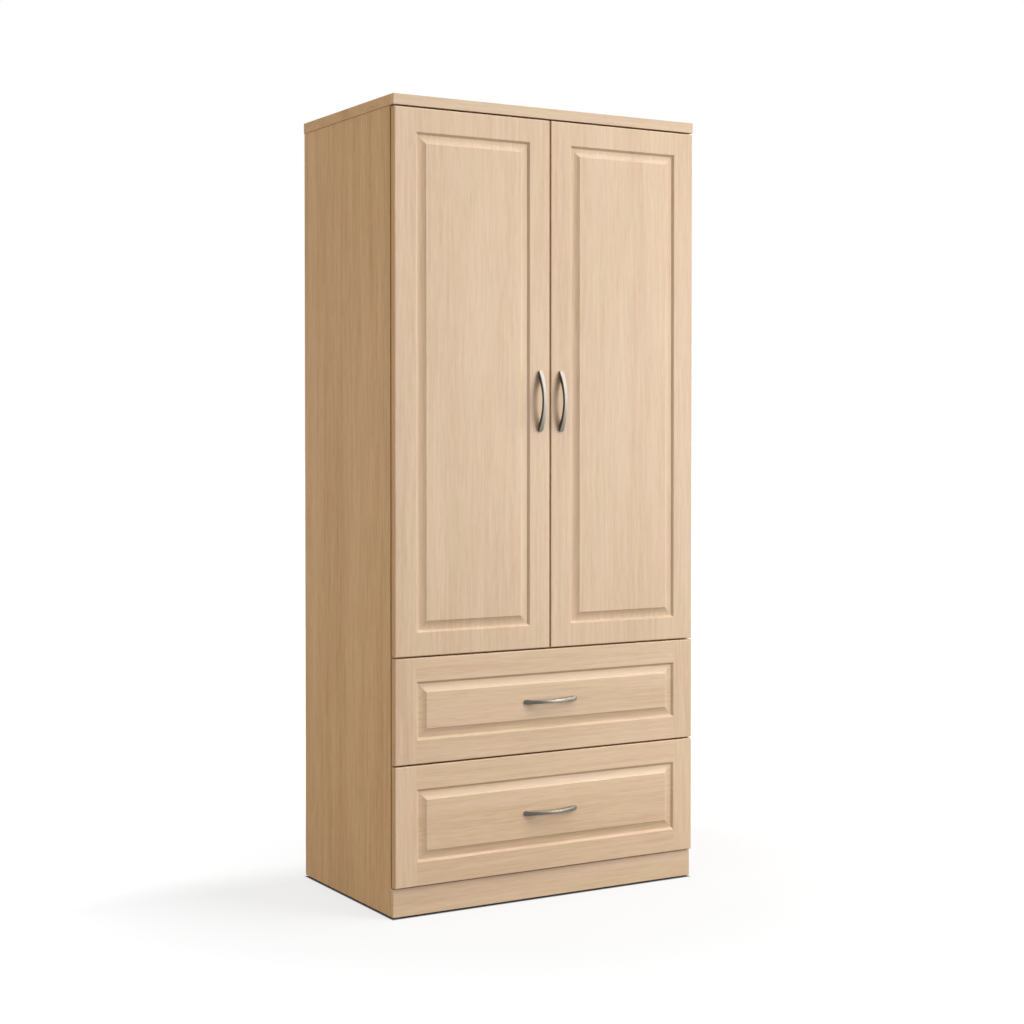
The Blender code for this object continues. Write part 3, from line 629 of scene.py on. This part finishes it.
# ---------------------------------------------------------------- hinges
CUP_WALL = 0.9 * MM
WING_REACH = 26 * MM  # from the cup's middle to the end of each wing
WING_HALF_WIDTH = 7.5 * MM
WING_OFFSET = 4 * MM  # of the wings' middle line from the cup's
WING_SCREWS = 21.5 * MM  # from the cup's middle
PIN_OFFSET = 12.2 * MM  # from the cup's middle to the pin
PIN_DEPTH = 10.6 * MM  # below the rim
PIN_HALF_LENGTH = 10.6 * MM
PIN_RADIUS = 1.5 * MM
AXIS_X = 409.2 * MM  # the hinge axis, from the middle of the armoire
# The strap's middle line from the pin, inward and back, and its half width at each point. These are in mm, as
# are the strap's half thickness and its chamfer.
ARM_PATH = (
    (0.0, 0.0, 4.2), (3.0, -0.75, 4.3), (7.0, -0.95, 4.4), (10.5, -0.75, 4.5), (12.9, 0.4, 4.6), (14.3, 2.4, 4.8),
    (15.0, 5.2, 5.0), (15.0, 12.0, 5.4), (15.0, 20.0, 6.6), (15.0, 24.0, 7.0), (15.0, 66.0, 7.0), (15.0, 67.5, 6.4),
)
STRAP_HALF_THICKNESS = 0.8
STRAP_CHAMFER = 0.25
ARM_DEPTH = 15.0 * MM  # from the pin inward to the strap's straight part
KNUCKLE_RADII = (1.8 * MM, 2.5 * MM)
KNUCKLE_HALF_LENGTH = 4.2 * MM
PLATE_FROM_END = 17 * MM  # from the arm's back end to the plate's middle
PLATE_HALF_HEIGHT = 24 * MM
PLATE_RADIUS = 6.5 * MM
PLATE_WAIST = (11.0 * MM, 6.0 * MM)  # half width and half height of the plate's wide middle
PLATE_SCREWS = 17.5 * MM  # from the plate's middle


def cup_profile(radius, depth):
    """(radius, height) of a cup with a thin floor and wall and a flat rim; its mouth is at height 0."""
    return [
        (0.0, -depth),
        (radius - 2.0 * MM, -depth),
        (radius - 0.6 * MM, -depth + 0.5 * MM),
        (radius, -depth + 1.8 * MM),
        (radius, -0.9 * MM),
        (radius + 1.6 * MM, -0.9 * MM),
        (radius + 1.8 * MM, -0.5 * MM),
        (radius + 1.4 * MM, -0.05 * MM),
        (radius - CUP_WALL + 0.6 * MM, 0.0),
        (radius - CUP_WALL, -0.6 * MM),
        (radius - CUP_WALL, -depth + 2.4 * MM),
        (radius - CUP_WALL - 1.2 * MM, -depth + CUP_WALL + 0.1 * MM),
        (0.0, -depth + CUP_WALL),
    ]


def cup_wing(bm, x, rim_y, z, inner, up):
    """A flat wing above or below a cup, with a round end; inner is where it meets the cup."""
    outline = [(-WING_HALF_WIDTH, inner), (WING_HALF_WIDTH, inner)]
    outline += arc((0.0, WING_REACH - WING_HALF_WIDTH), WING_HALF_WIDTH, 0, 180, 12)
    loops = []
    for behind, shrink in ((0.95 * MM, 0.0), (0.25 * MM, 0.0), (0.05 * MM, 0.25 * MM)):
        scale = 1.0 - shrink / WING_HALF_WIDTH
        loop = []
        for u, v in outline:
            loop.append((x + u * scale, rim_y - behind, z + up * (v * scale if v > inner else v)))
        loops.append(loop)
    loft(bm, loops)


def hinge_cup(side, sign, place):
    """A pressed cup with a rim and two wings, the pin across it and the two fixing screws."""
    node = f"hinge_cup_{side}_{place}"
    low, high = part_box(node)
    centre = Vector(((low.x + high.x) / 2, high.y, (low.z + high.z) / 2))
    radius = (high.x - low.x) / 2
    wing_x = centre.x - sign * WING_OFFSET
    bm = bmesh.new()
    turned(bm, cup_profile(radius, high.y - low.y), toward((0, 1, 0), centre), CUP_SEGMENTS)
    for up in (-1, 1):
        cup_wing(bm, wing_x, high.y, centre.z, radius - 1.0 * MM, up)
    pin = [(0.0, -PIN_HALF_LENGTH), (PIN_RADIUS, -PIN_HALF_LENGTH), (PIN_RADIUS, PIN_HALF_LENGTH)]
    pin.append((0.0, PIN_HALF_LENGTH))
    pin_centre = (sign * (abs(centre.x) + PIN_OFFSET), high.y - PIN_DEPTH, centre.z)
    turned(bm, pin, Matrix.Translation(pin_centre), 20)
    for up in (-1, 1):
        spot = (wing_x, high.y - 0.1 * MM, centre.z + up * WING_SCREWS)
        screw_head(bm, spot, (0, 1, 0), 3.6 * MM, 1.3 * MM, 30 + 40 * up)
    hardware(f"{node}_pressed", bm, ZINC, f"door_{side}", "zinc_steel", node)


def arm_strap(bm, pin, inward):
    """A bent strap with chamfered corners, from the pin to the back of the arm."""
    loops = []
    for i, (x, y, half_width) in enumerate(ARM_PATH):
        before, after = ARM_PATH[max(i - 1, 0)], ARM_PATH[min(i + 1, len(ARM_PATH) - 1)]
        run = Vector((after[0] - before[0], after[1] - before[1])).normalized()
        normal = Vector((-run.y, run.x))
        loop = []
        for side_of, z in ((1, -1), (1, 1), (-1, 1), (-1, -1)):
            base = Vector((x, y)) + normal * STRAP_HALF_THICKNESS * side_of
            insets = [(STRAP_CHAMFER, 0.0), (0.0, STRAP_CHAMFER)]
            for across, along in insets if side_of * z < 0 else insets[::-1]:
                p = base - normal * side_of * across
                loop.append((pin.x + inward * p.x * MM, pin.y + p.y * MM, pin.z + z * (half_width - along) * MM))
        loops.append(loop)
    loft(bm, loops)


def wall_plate(bm, outline, wall_x, inward, centre, steps):
    """A plate on a side panel; steps are (distance from the panel, scale of the outline) pairs."""
    loops = []
    for x, scale in steps:
        loops.append([(wall_x + inward * x, centre.y + u * scale, centre.z + v * scale) for u, v in outline])
    loft(bm, loops)


def arm_plate_outline():
    """A plate with two rounded ends and a wider, square middle."""
    end = PLATE_HALF_HEIGHT - PLATE_RADIUS
    wide, high = PLATE_WAIST
    outline = [(wide, high)] + arc((0, end), PLATE_RADIUS, 0, 180, 10) + [(-wide, high), (-wide, -high)]
    return outline + arc((0, -end), PLATE_RADIUS, 180, 360, 10) + [(wide, -high)]


def hinge_arm(side, sign, place):
    """A channel arm from the pin to its mounting plate, with adjusting screws and plate screws."""
    node = f"hinge_arm_{side}_{place}"
    low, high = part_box(node)
    inward = -sign
    wall_x = low.x if sign < 0 else high.x
    pin = Vector((sign * AXIS_X, low.y + 2.5 * MM, (low.z + high.z) / 2))
    arm_x = pin.x + inward * ARM_DEPTH
    bm = bmesh.new()
    arm_strap(bm, pin, inward)
    inner, outer = KNUCKLE_RADII
    reach = KNUCKLE_HALF_LENGTH
    knuckle = [(inner, -reach), (outer, -reach), (outer, reach), (inner, reach), (inner, -reach)]
    turned(bm, knuckle, Matrix.Translation(pin), 24)
    for z in (-1, 1):
        flange = (arm_x - inward * 2.4 * MM, pin.y + 45.5 * MM, pin.z + z * 6.5 * MM)
        block(bm, flange, (4.0 * MM, 42 * MM, 0.9 * MM))
    plate = Vector((wall_x, high.y - PLATE_FROM_END, pin.z))
    post = ((arm_x + wall_x) / 2, plate.y, plate.z)
    block(bm, post, (abs(arm_x - wall_x) - 1.0 * MM, 33 * MM, 11 * MM))
    steps = ((0.0, 1.0), (1.6 * MM, 1.0), (2.2 * MM, 0.94))
    wall_plate(bm, arm_plate_outline(), wall_x, inward, plate, steps)
    for up in (-1, 1):
        spot = (wall_x + inward * 2.1 * MM, plate.y, plate.z + up * PLATE_SCREWS)
        screw_head(bm, spot, (inward, 0, 0), 3.8 * MM, 1.5 * MM, 15 + 33 * up)
    for back in (26.0, 52.0):
        spot = (arm_x + inward * 0.75 * MM, pin.y + back * MM, pin.z)
        screw_head(bm, spot, (inward, 0, 0), 3.3 * MM, 1.4 * MM, back)
    hardware(f"{node}_fitted", bm, ZINC, "carcass", "zinc_steel", node)


# ---------------------------------------------------------------- doors and drawers
def build_doors():
    for index, (side, sign) in enumerate(SIDES):
        door = f"door_{side}"
        material = wood(f"foil_{door}", "Z", FOIL, 1.7 + 2.9 * index, FOIL_GLOSS)
        front = raised_front(door, door, material)
        bore_cups(front, [f"hinge_cup_{side}_{place}" for place in HINGES])
        bow_handle(f"handle_{door}", door, True)
        handle_screws(f"handle_{door}", door, door, True)
        for place in HINGES:
            hinge_cup(side, sign, place)
            hinge_arm(side, sign, place)


def build_drawers():
    for index, level in enumerate(LEVELS):
        drawer = f"{level}_drawer"
        front = f"{drawer}_front"
        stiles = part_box(front)[1].x - FRAME_WIDTH
        # Painted light: the drawer fronts are lightened, the lower one more.
        palette = painted_light_palette(FOIL, 1.03 + 0.03 * index)
        material = wood(f"foil_{drawer}", "X", palette, 11.3 + 3.7 * index, FOIL_GLOSS, stiles=stiles)
        raised_front(front, drawer, material)
        bow_handle(f"handle_{drawer}", drawer, False)
        handle_screws(f"handle_{drawer}", front, drawer, False)


# ---------------------------------------------------------------- boards
BOARD_EDGE = 0.3 * MM
FOIL_BOARD_EDGE = 0.8 * MM
# Node, grain axis, and how far the grain pattern is shifted.
CARCASS_BOARDS = (
    ("side_panel_left", "Z", 21.0),
    ("side_panel_right", "Z", 25.0),
    ("top_panel", "X", 31.0),
    ("floor_panel", "X", 35.0),
    ("divider_panel", "X", 38.0),
    ("hat_shelf", "X", 41.0),
)
DRAWER_BOARDS = (("side_left", "Y", 51.0), ("side_right", "Y", 53.0), ("back", "X", 55.0))


def build_boards():
    """The carcass and drawer boards keep their CAD solids and get eased edges and their material."""
    for node, grain, shift in CARCASS_BOARDS:
        material = wood(f"melamine_{node}", grain, MELAMINE, shift, MELAMINE_GLOSS, raw=(0, 1, 0))
        ease_edges(dress(node, material), BOARD_EDGE)
    # Painted shade on the top lipping, which is darkened, and painted light on the plinth, which is lightened.
    for node, shift, share in (("top_lipping", 45.0, 0.94), ("plinth_board", 48.0, 1.06)):
        material = wood(f"foil_{node}", "X", painted_light_palette(FOIL, share), shift, FOIL_GLOSS, dull_ends=True)
        ease_edges(dress(node, material), FOIL_BOARD_EDGE)
    for index, level in enumerate(LEVELS):
        for part, grain, shift in DRAWER_BOARDS:
            name = f"melamine_{level}_{part}"
            material = wood(name, grain, MELAMINE, shift + 7 * index, MELAMINE_GLOSS)
            ease_edges(dress(f"{level}_drawer_{part}", material), BOARD_EDGE)
        dress(f"{level}_drawer_bottom", BOTTOM_BOARD)
    dress("back_panel", BACK_BOARD)


# ---------------------------------------------------------------- rail, pins, feet
RAIL_WALL = 1.2 * MM
RAIL_PLAY = 0.4 * MM
SOCKET_SCREWS = 20.5 * MM  # from the rail's middle


def build_rail():
    """An oval tube between two sockets."""
    low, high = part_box("hanging_rail")
    centre = (low + high) / 2
    half_height, half_width = (high.z - low.z) / 2, (high.y - low.y) / 2
    bm = bmesh.new()
    loops = []
    for x, wall in ((low.x, 0), (high.x, 0), (high.x, RAIL_WALL), (low.x, RAIL_WALL), (low.x, 0)):
        outline = slot_outline(half_height - half_width, half_width - wall, 20)
        loops.append([(x, centre.y + u, centre.z + v) for u, v in outline])
    loft(bm, loops, close_ends=False)
    bmesh.ops.remove_doubles(bm, verts=bm.verts, dist=1e-7)
    hardware("hanging_rail_tube", bm, CHROME, "carcass", "chrome_tube", "hanging_rail")
    for side, sign in SIDES:
        rail_socket(side, sign)


def socket_outline(outer, inner, drop):
    """A U that is open upward: half circles round the rail's lower part, and two arms with chamfered ends."""
    outline = arc((0, -drop), outer, 180, 360, 20) + [(outer, 13 * MM), (outer - 0.8 * MM, 15 * MM)]
    outline += [(inner + 0.4 * MM, 15 * MM), (inner, 14 * MM)]
    outline += arc((0, -drop), inner, 0, -180, 20) + [(-inner, 14 * MM), (-inner - 0.4 * MM, 15 * MM)]
    return outline + [(-outer + 0.8 * MM, 15 * MM), (-outer, 13 * MM)]


def rail_socket(side, sign):
    """A pressed plate with an open U for the rail, and its two screws."""
    node = f"rail_socket_{side}"
    low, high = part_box(node)
    rail_low, rail_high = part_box("hanging_rail")
    centre = (rail_low + rail_high) / 2
    wall_x = low.x if sign < 0 else high.x
    inward = -sign
    radius = (high.y - low.y) / 2
    inner = (rail_high.y - rail_low.y) / 2 + RAIL_PLAY
    drop = (rail_high.z - rail_low.z) / 2 - (rail_high.y - rail_low.y) / 2
    bm = bmesh.new()
    plate = slot_outline((high.z - low.z) / 2 - radius, radius, 16)
    wall_plate(bm, plate, wall_x, inward, centre, ((0.0, 1.0), (1.5 * MM, 1.0), (2.0 * MM, 0.95)))
    steps = ((1.0 * MM, 1.0), (11.5 * MM, 1.0), (12.0 * MM, 1.0))
    wall_plate(bm, socket_outline(radius, inner, drop), wall_x, inward, centre, steps)
    for up in (-1, 1):
        spot = (wall_x + inward * 1.9 * MM, centre.y, centre.z + up * SOCKET_SCREWS)
        screw_head(bm, spot, (inward, 0, 0), 3.4 * MM, 1.3 * MM, 25 * up)
    hardware(f"{node}_pressed", bm, ZINC, "carcass", "zinc_steel", node)


def build_pins_and_feet():
    for side, sign in SIDES:
        for place in ("front", "rear"):
            shelf_pin(f"shelf_pin_{side}_{place}", side, sign)
            foot(f"foot_{side}_{place}")


def shelf_pin(node, side, sign):
    """A turned pin, half in the side panel and half under the shelf, with a collar against the panel."""
    centre = middle_of(node)
    wall_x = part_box(f"side_panel_{side}")[1 if sign < 0 else 0].x
    shank, collar = 2.4 * MM, 4.2 * MM
    profile = [
        (0.0, -7.0 * MM),
        (shank, -7.0 * MM),
        (shank, 0.3 * MM),
        (collar - 0.3 * MM, 0.3 * MM),
        (collar, 0.6 * MM),
        (collar, 1.5 * MM),
        (collar - 0.3 * MM, 1.8 * MM),
        (shank, 1.8 * MM),
        (shank, 8.4 * MM),
        (shank - 0.6 * MM, 9.0 * MM),
        (0.0, 9.0 * MM),
    ]
    bm = bmesh.new()
    turned(bm, profile, toward((-sign, 0, 0), (wall_x, centre.y, centre.z)), 28)
    hardware(f"{node}_turned", bm, ZINC, "carcass", "zinc_steel", node)


def foot(node):
    """A round glide with an eased lower edge."""
    low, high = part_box(node)
    centre = (low + high) / 2
    radius = (high.x - low.x) / 2
    profile = [
        (0.0, low.z),
        (radius - 1.4 * MM, low.z),
        (radius - 0.4 * MM, low.z + 0.6 * MM),
        (radius, low.z + 1.6 * MM),
        (radius, high.z),
        (0.0, high.z),
    ]
    bm = bmesh.new()
    turned(bm, profile, Matrix.Translation((centre.x, centre.y, 0)), 40)
    hardware(f"{node}_glide", bm, FOOT_PLASTIC, "carcass", "foot_plastic", node)


# ---------------------------------------------------------------- slides
def build_slides():
    """The slide members keep their CAD solids and get eased edges and zinc."""
    for level in LEVELS:
        for side, _ in SIDES:
            for member in ("fixed", "middle", "moving"):
                ease_edges(dress(f"{level}_slide_{member}_{side}", ZINC), BOARD_EDGE, 1)


# ---------------------------------------------------------------- stage
CAMERA_PLACE = (-2.3424, -4.0557, 1.1262)
CAMERA_TURN = 30.352  # degrees to the right of +Y
CAMERA_TILT = -1.056  # degrees, downward
CAMERA_LENS = 65.479
CAMERA_SENSOR = 36
CAMERA_SHIFT = -0.045
WHITE = (1.0, 1.0, 1.0, 1.0)
AMBIENT = 0.46
FLOOR_SIZE = 60.0
FLOOR_GREY = (0.18, 0.18, 0.18, 1.0)
# The floor's glow is painted light that only the camera sees. It is weaker near the armoire, most of all in front
# of it, which paints shade there. It is left out under the armoire, which paints a dark contact line round its
# foot.
GLOW_FRONT, GLOW_BEHIND, GLOW_FAR = 0.713, 0.845, 1.0
GLOW_BACK = (0.20, 0.45)  # Y where the front glow turns into the glow behind
GLOW_RANGE = (0.6, 2.0)  # distance from the middle where both turn into the far glow
GLOW_EDGE = 5 * MM  # the glow rises from nothing over this distance outside the armoire's outline
AIM = Vector((0.0, -0.24, 1.0))  # the middle of the doors and drawers


def softbox(name, centre, size, power, target=AIM):
    """A softbox that faces the target; the camera doesn't see it."""
    data = bpy.data.lights.new(name, "AREA")
    data.shape = "RECTANGLE"
    data.size, data.size_y = size
    data.energy = power
    light = bpy.data.objects.new(name, data)
    light.location = centre
    light.rotation_mode = "QUATERNION"
    light.rotation_quaternion = (target - Vector(centre)).to_track_quat("-Z", "Y")
    light.visible_camera = False
    bpy.context.scene.collection.objects.link(light)


def floor_glow(shader):
    """How strongly the paper floor glows, a painted light: less near the armoire, which paints shade there, more
    behind it, and white far away.
    """
    spread = shader.vector("LENGTH", shader.place, result="Value")
    behind = shader.span(shader.axes(shader.place)[1], *GLOW_BACK, smooth=True)
    near = shader.span(behind, 0.0, 1.0, GLOW_FRONT, GLOW_BEHIND)
    far_share = shader.span(spread, *GLOW_RANGE, smooth=True)
    more = shader.math("MULTIPLY", shader.math("SUBTRACT", GLOW_FAR, near), far_share)
    return shader.math("ADD", near, more)


def contact_shade_mask(shader):
    """0 under the armoire and 1 outside its outline: painted contact shade under the armoire."""
    low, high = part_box("plinth_board")[0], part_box("side_panel_right")[1]
    middle = Vector(((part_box("side_panel_left")[0].x + high.x) / 2, (low.y + high.y) / 2, 0.0))
    half = Vector((high.x - middle.x, high.y - middle.y, 0.0))
    offset = shader.vector("ABSOLUTE", shader.vector("SUBTRACT", shader.place, middle))
    beyond = shader.axes(shader.vector("SUBTRACT", offset, half))
    return shader.span(shader.math("MAXIMUM", beyond[0], beyond[1]), 0.0, GLOW_EDGE)


def build_floor():
    """Grey paper for the lights, with a glow that only the camera sees."""
    bm = bmesh.new()
    bmesh.ops.create_grid(bm, x_segments=1, y_segments=1, size=FLOOR_SIZE)
    mesh = bpy.data.meshes.new("floor")
    bm.to_mesh(mesh)
    bm.free()
    floor = bpy.data.objects.new("floor", mesh)
    bpy.context.scene.collection.objects.link(floor)
    shader = Shader("floor_paper", Base_Color=FLOOR_GREY, Roughness=1.0, Specular_IOR_Level=0.0)
    shader.surface.inputs["Emission Color"].default_value = WHITE
    seen = shader.node("ShaderNodeLightPath").outputs["Is Camera Ray"]
    glow = shader.math("MULTIPLY", floor_glow(shader), contact_shade_mask(shader))
    shader.feed(shader.surface.inputs["Emission Strength"], shader.math("MULTIPLY", glow, seen))
    mesh.materials.append(shader.material)


def build_world():
    """White where the camera sees it, and dimmer as a light."""
    world = bpy.data.worlds.new("studio")
    bpy.context.scene.world = world
    world.use_nodes = True
    nodes, links = world.node_tree.nodes, world.node_tree.links
    backdrop = nodes["Background"]
    backdrop.inputs[0].default_value = WHITE
    backdrop.inputs[1].default_value = 1.0
    ambient = nodes.new("ShaderNodeBackground")
    ambient.inputs[0].default_value = WHITE
    ambient.inputs[1].default_value = AMBIENT
    path = nodes.new("ShaderNodeLightPath")
    mix = nodes.new("ShaderNodeMixShader")
    links.new(path.outputs["Is Camera Ray"], mix.inputs[0])
    links.new(ambient.outputs[0], mix.inputs[1])
    links.new(backdrop.outputs[0], mix.inputs[2])
    links.new(mix.outputs[0], nodes["World Output"].inputs[0])


def build_lights():
    """A large key light high on the right, and weaker ones that fill the front, the top, the sides and the back."""
    softbox("key", (5.93, -6.17, 6.65), (4.9, 4.9), 605, Vector((0.0, -0.24, 0.4)))
    softbox("haze", (3.7, -5.2, 1.2), (3.0, 2.8), 180)
    softbox("high", (1.02, -0.33, 4.42), (1.8, 1.8), 33, Vector((-0.2, 0.0, 0.0)))
    softbox("overhead", (0.3, -3.9, 14.0), (9.0, 9.0), 790, Vector((0.0, 0.0, 0.0)))
    softbox("left", (-6.0, -0.8, 1.0), (3.0, 3.0), 142)
    softbox("right", (5.9, -1.0, 1.2), (4.0, 1.8), 110)
    softbox("rear", (0.0, 6.0, 1.25), (3.0, 1.2), 120, Vector((0.0, 0.26, 1.1)))


def build_camera():
    """A long lens from the front left, a little above half height."""
    data = bpy.data.cameras.new("camera")
    data.lens = CAMERA_LENS
    data.sensor_width = CAMERA_SENSOR
    data.shift_y = CAMERA_SHIFT
    camera = bpy.data.objects.new("camera", data)
    camera.location = CAMERA_PLACE
    camera.rotation_euler = (math.radians(90 + CAMERA_TILT), 0, -math.radians(CAMERA_TURN))
    bpy.context.scene.collection.objects.link(camera)
    bpy.context.scene.camera = camera


build_doors()
build_drawers()
build_boards()
build_rail()
build_pins_and_feet()
build_slides()
build_floor()
build_world()
build_lights()
build_camera()
bpy.context.scene.view_settings.view_transform = "Standard"
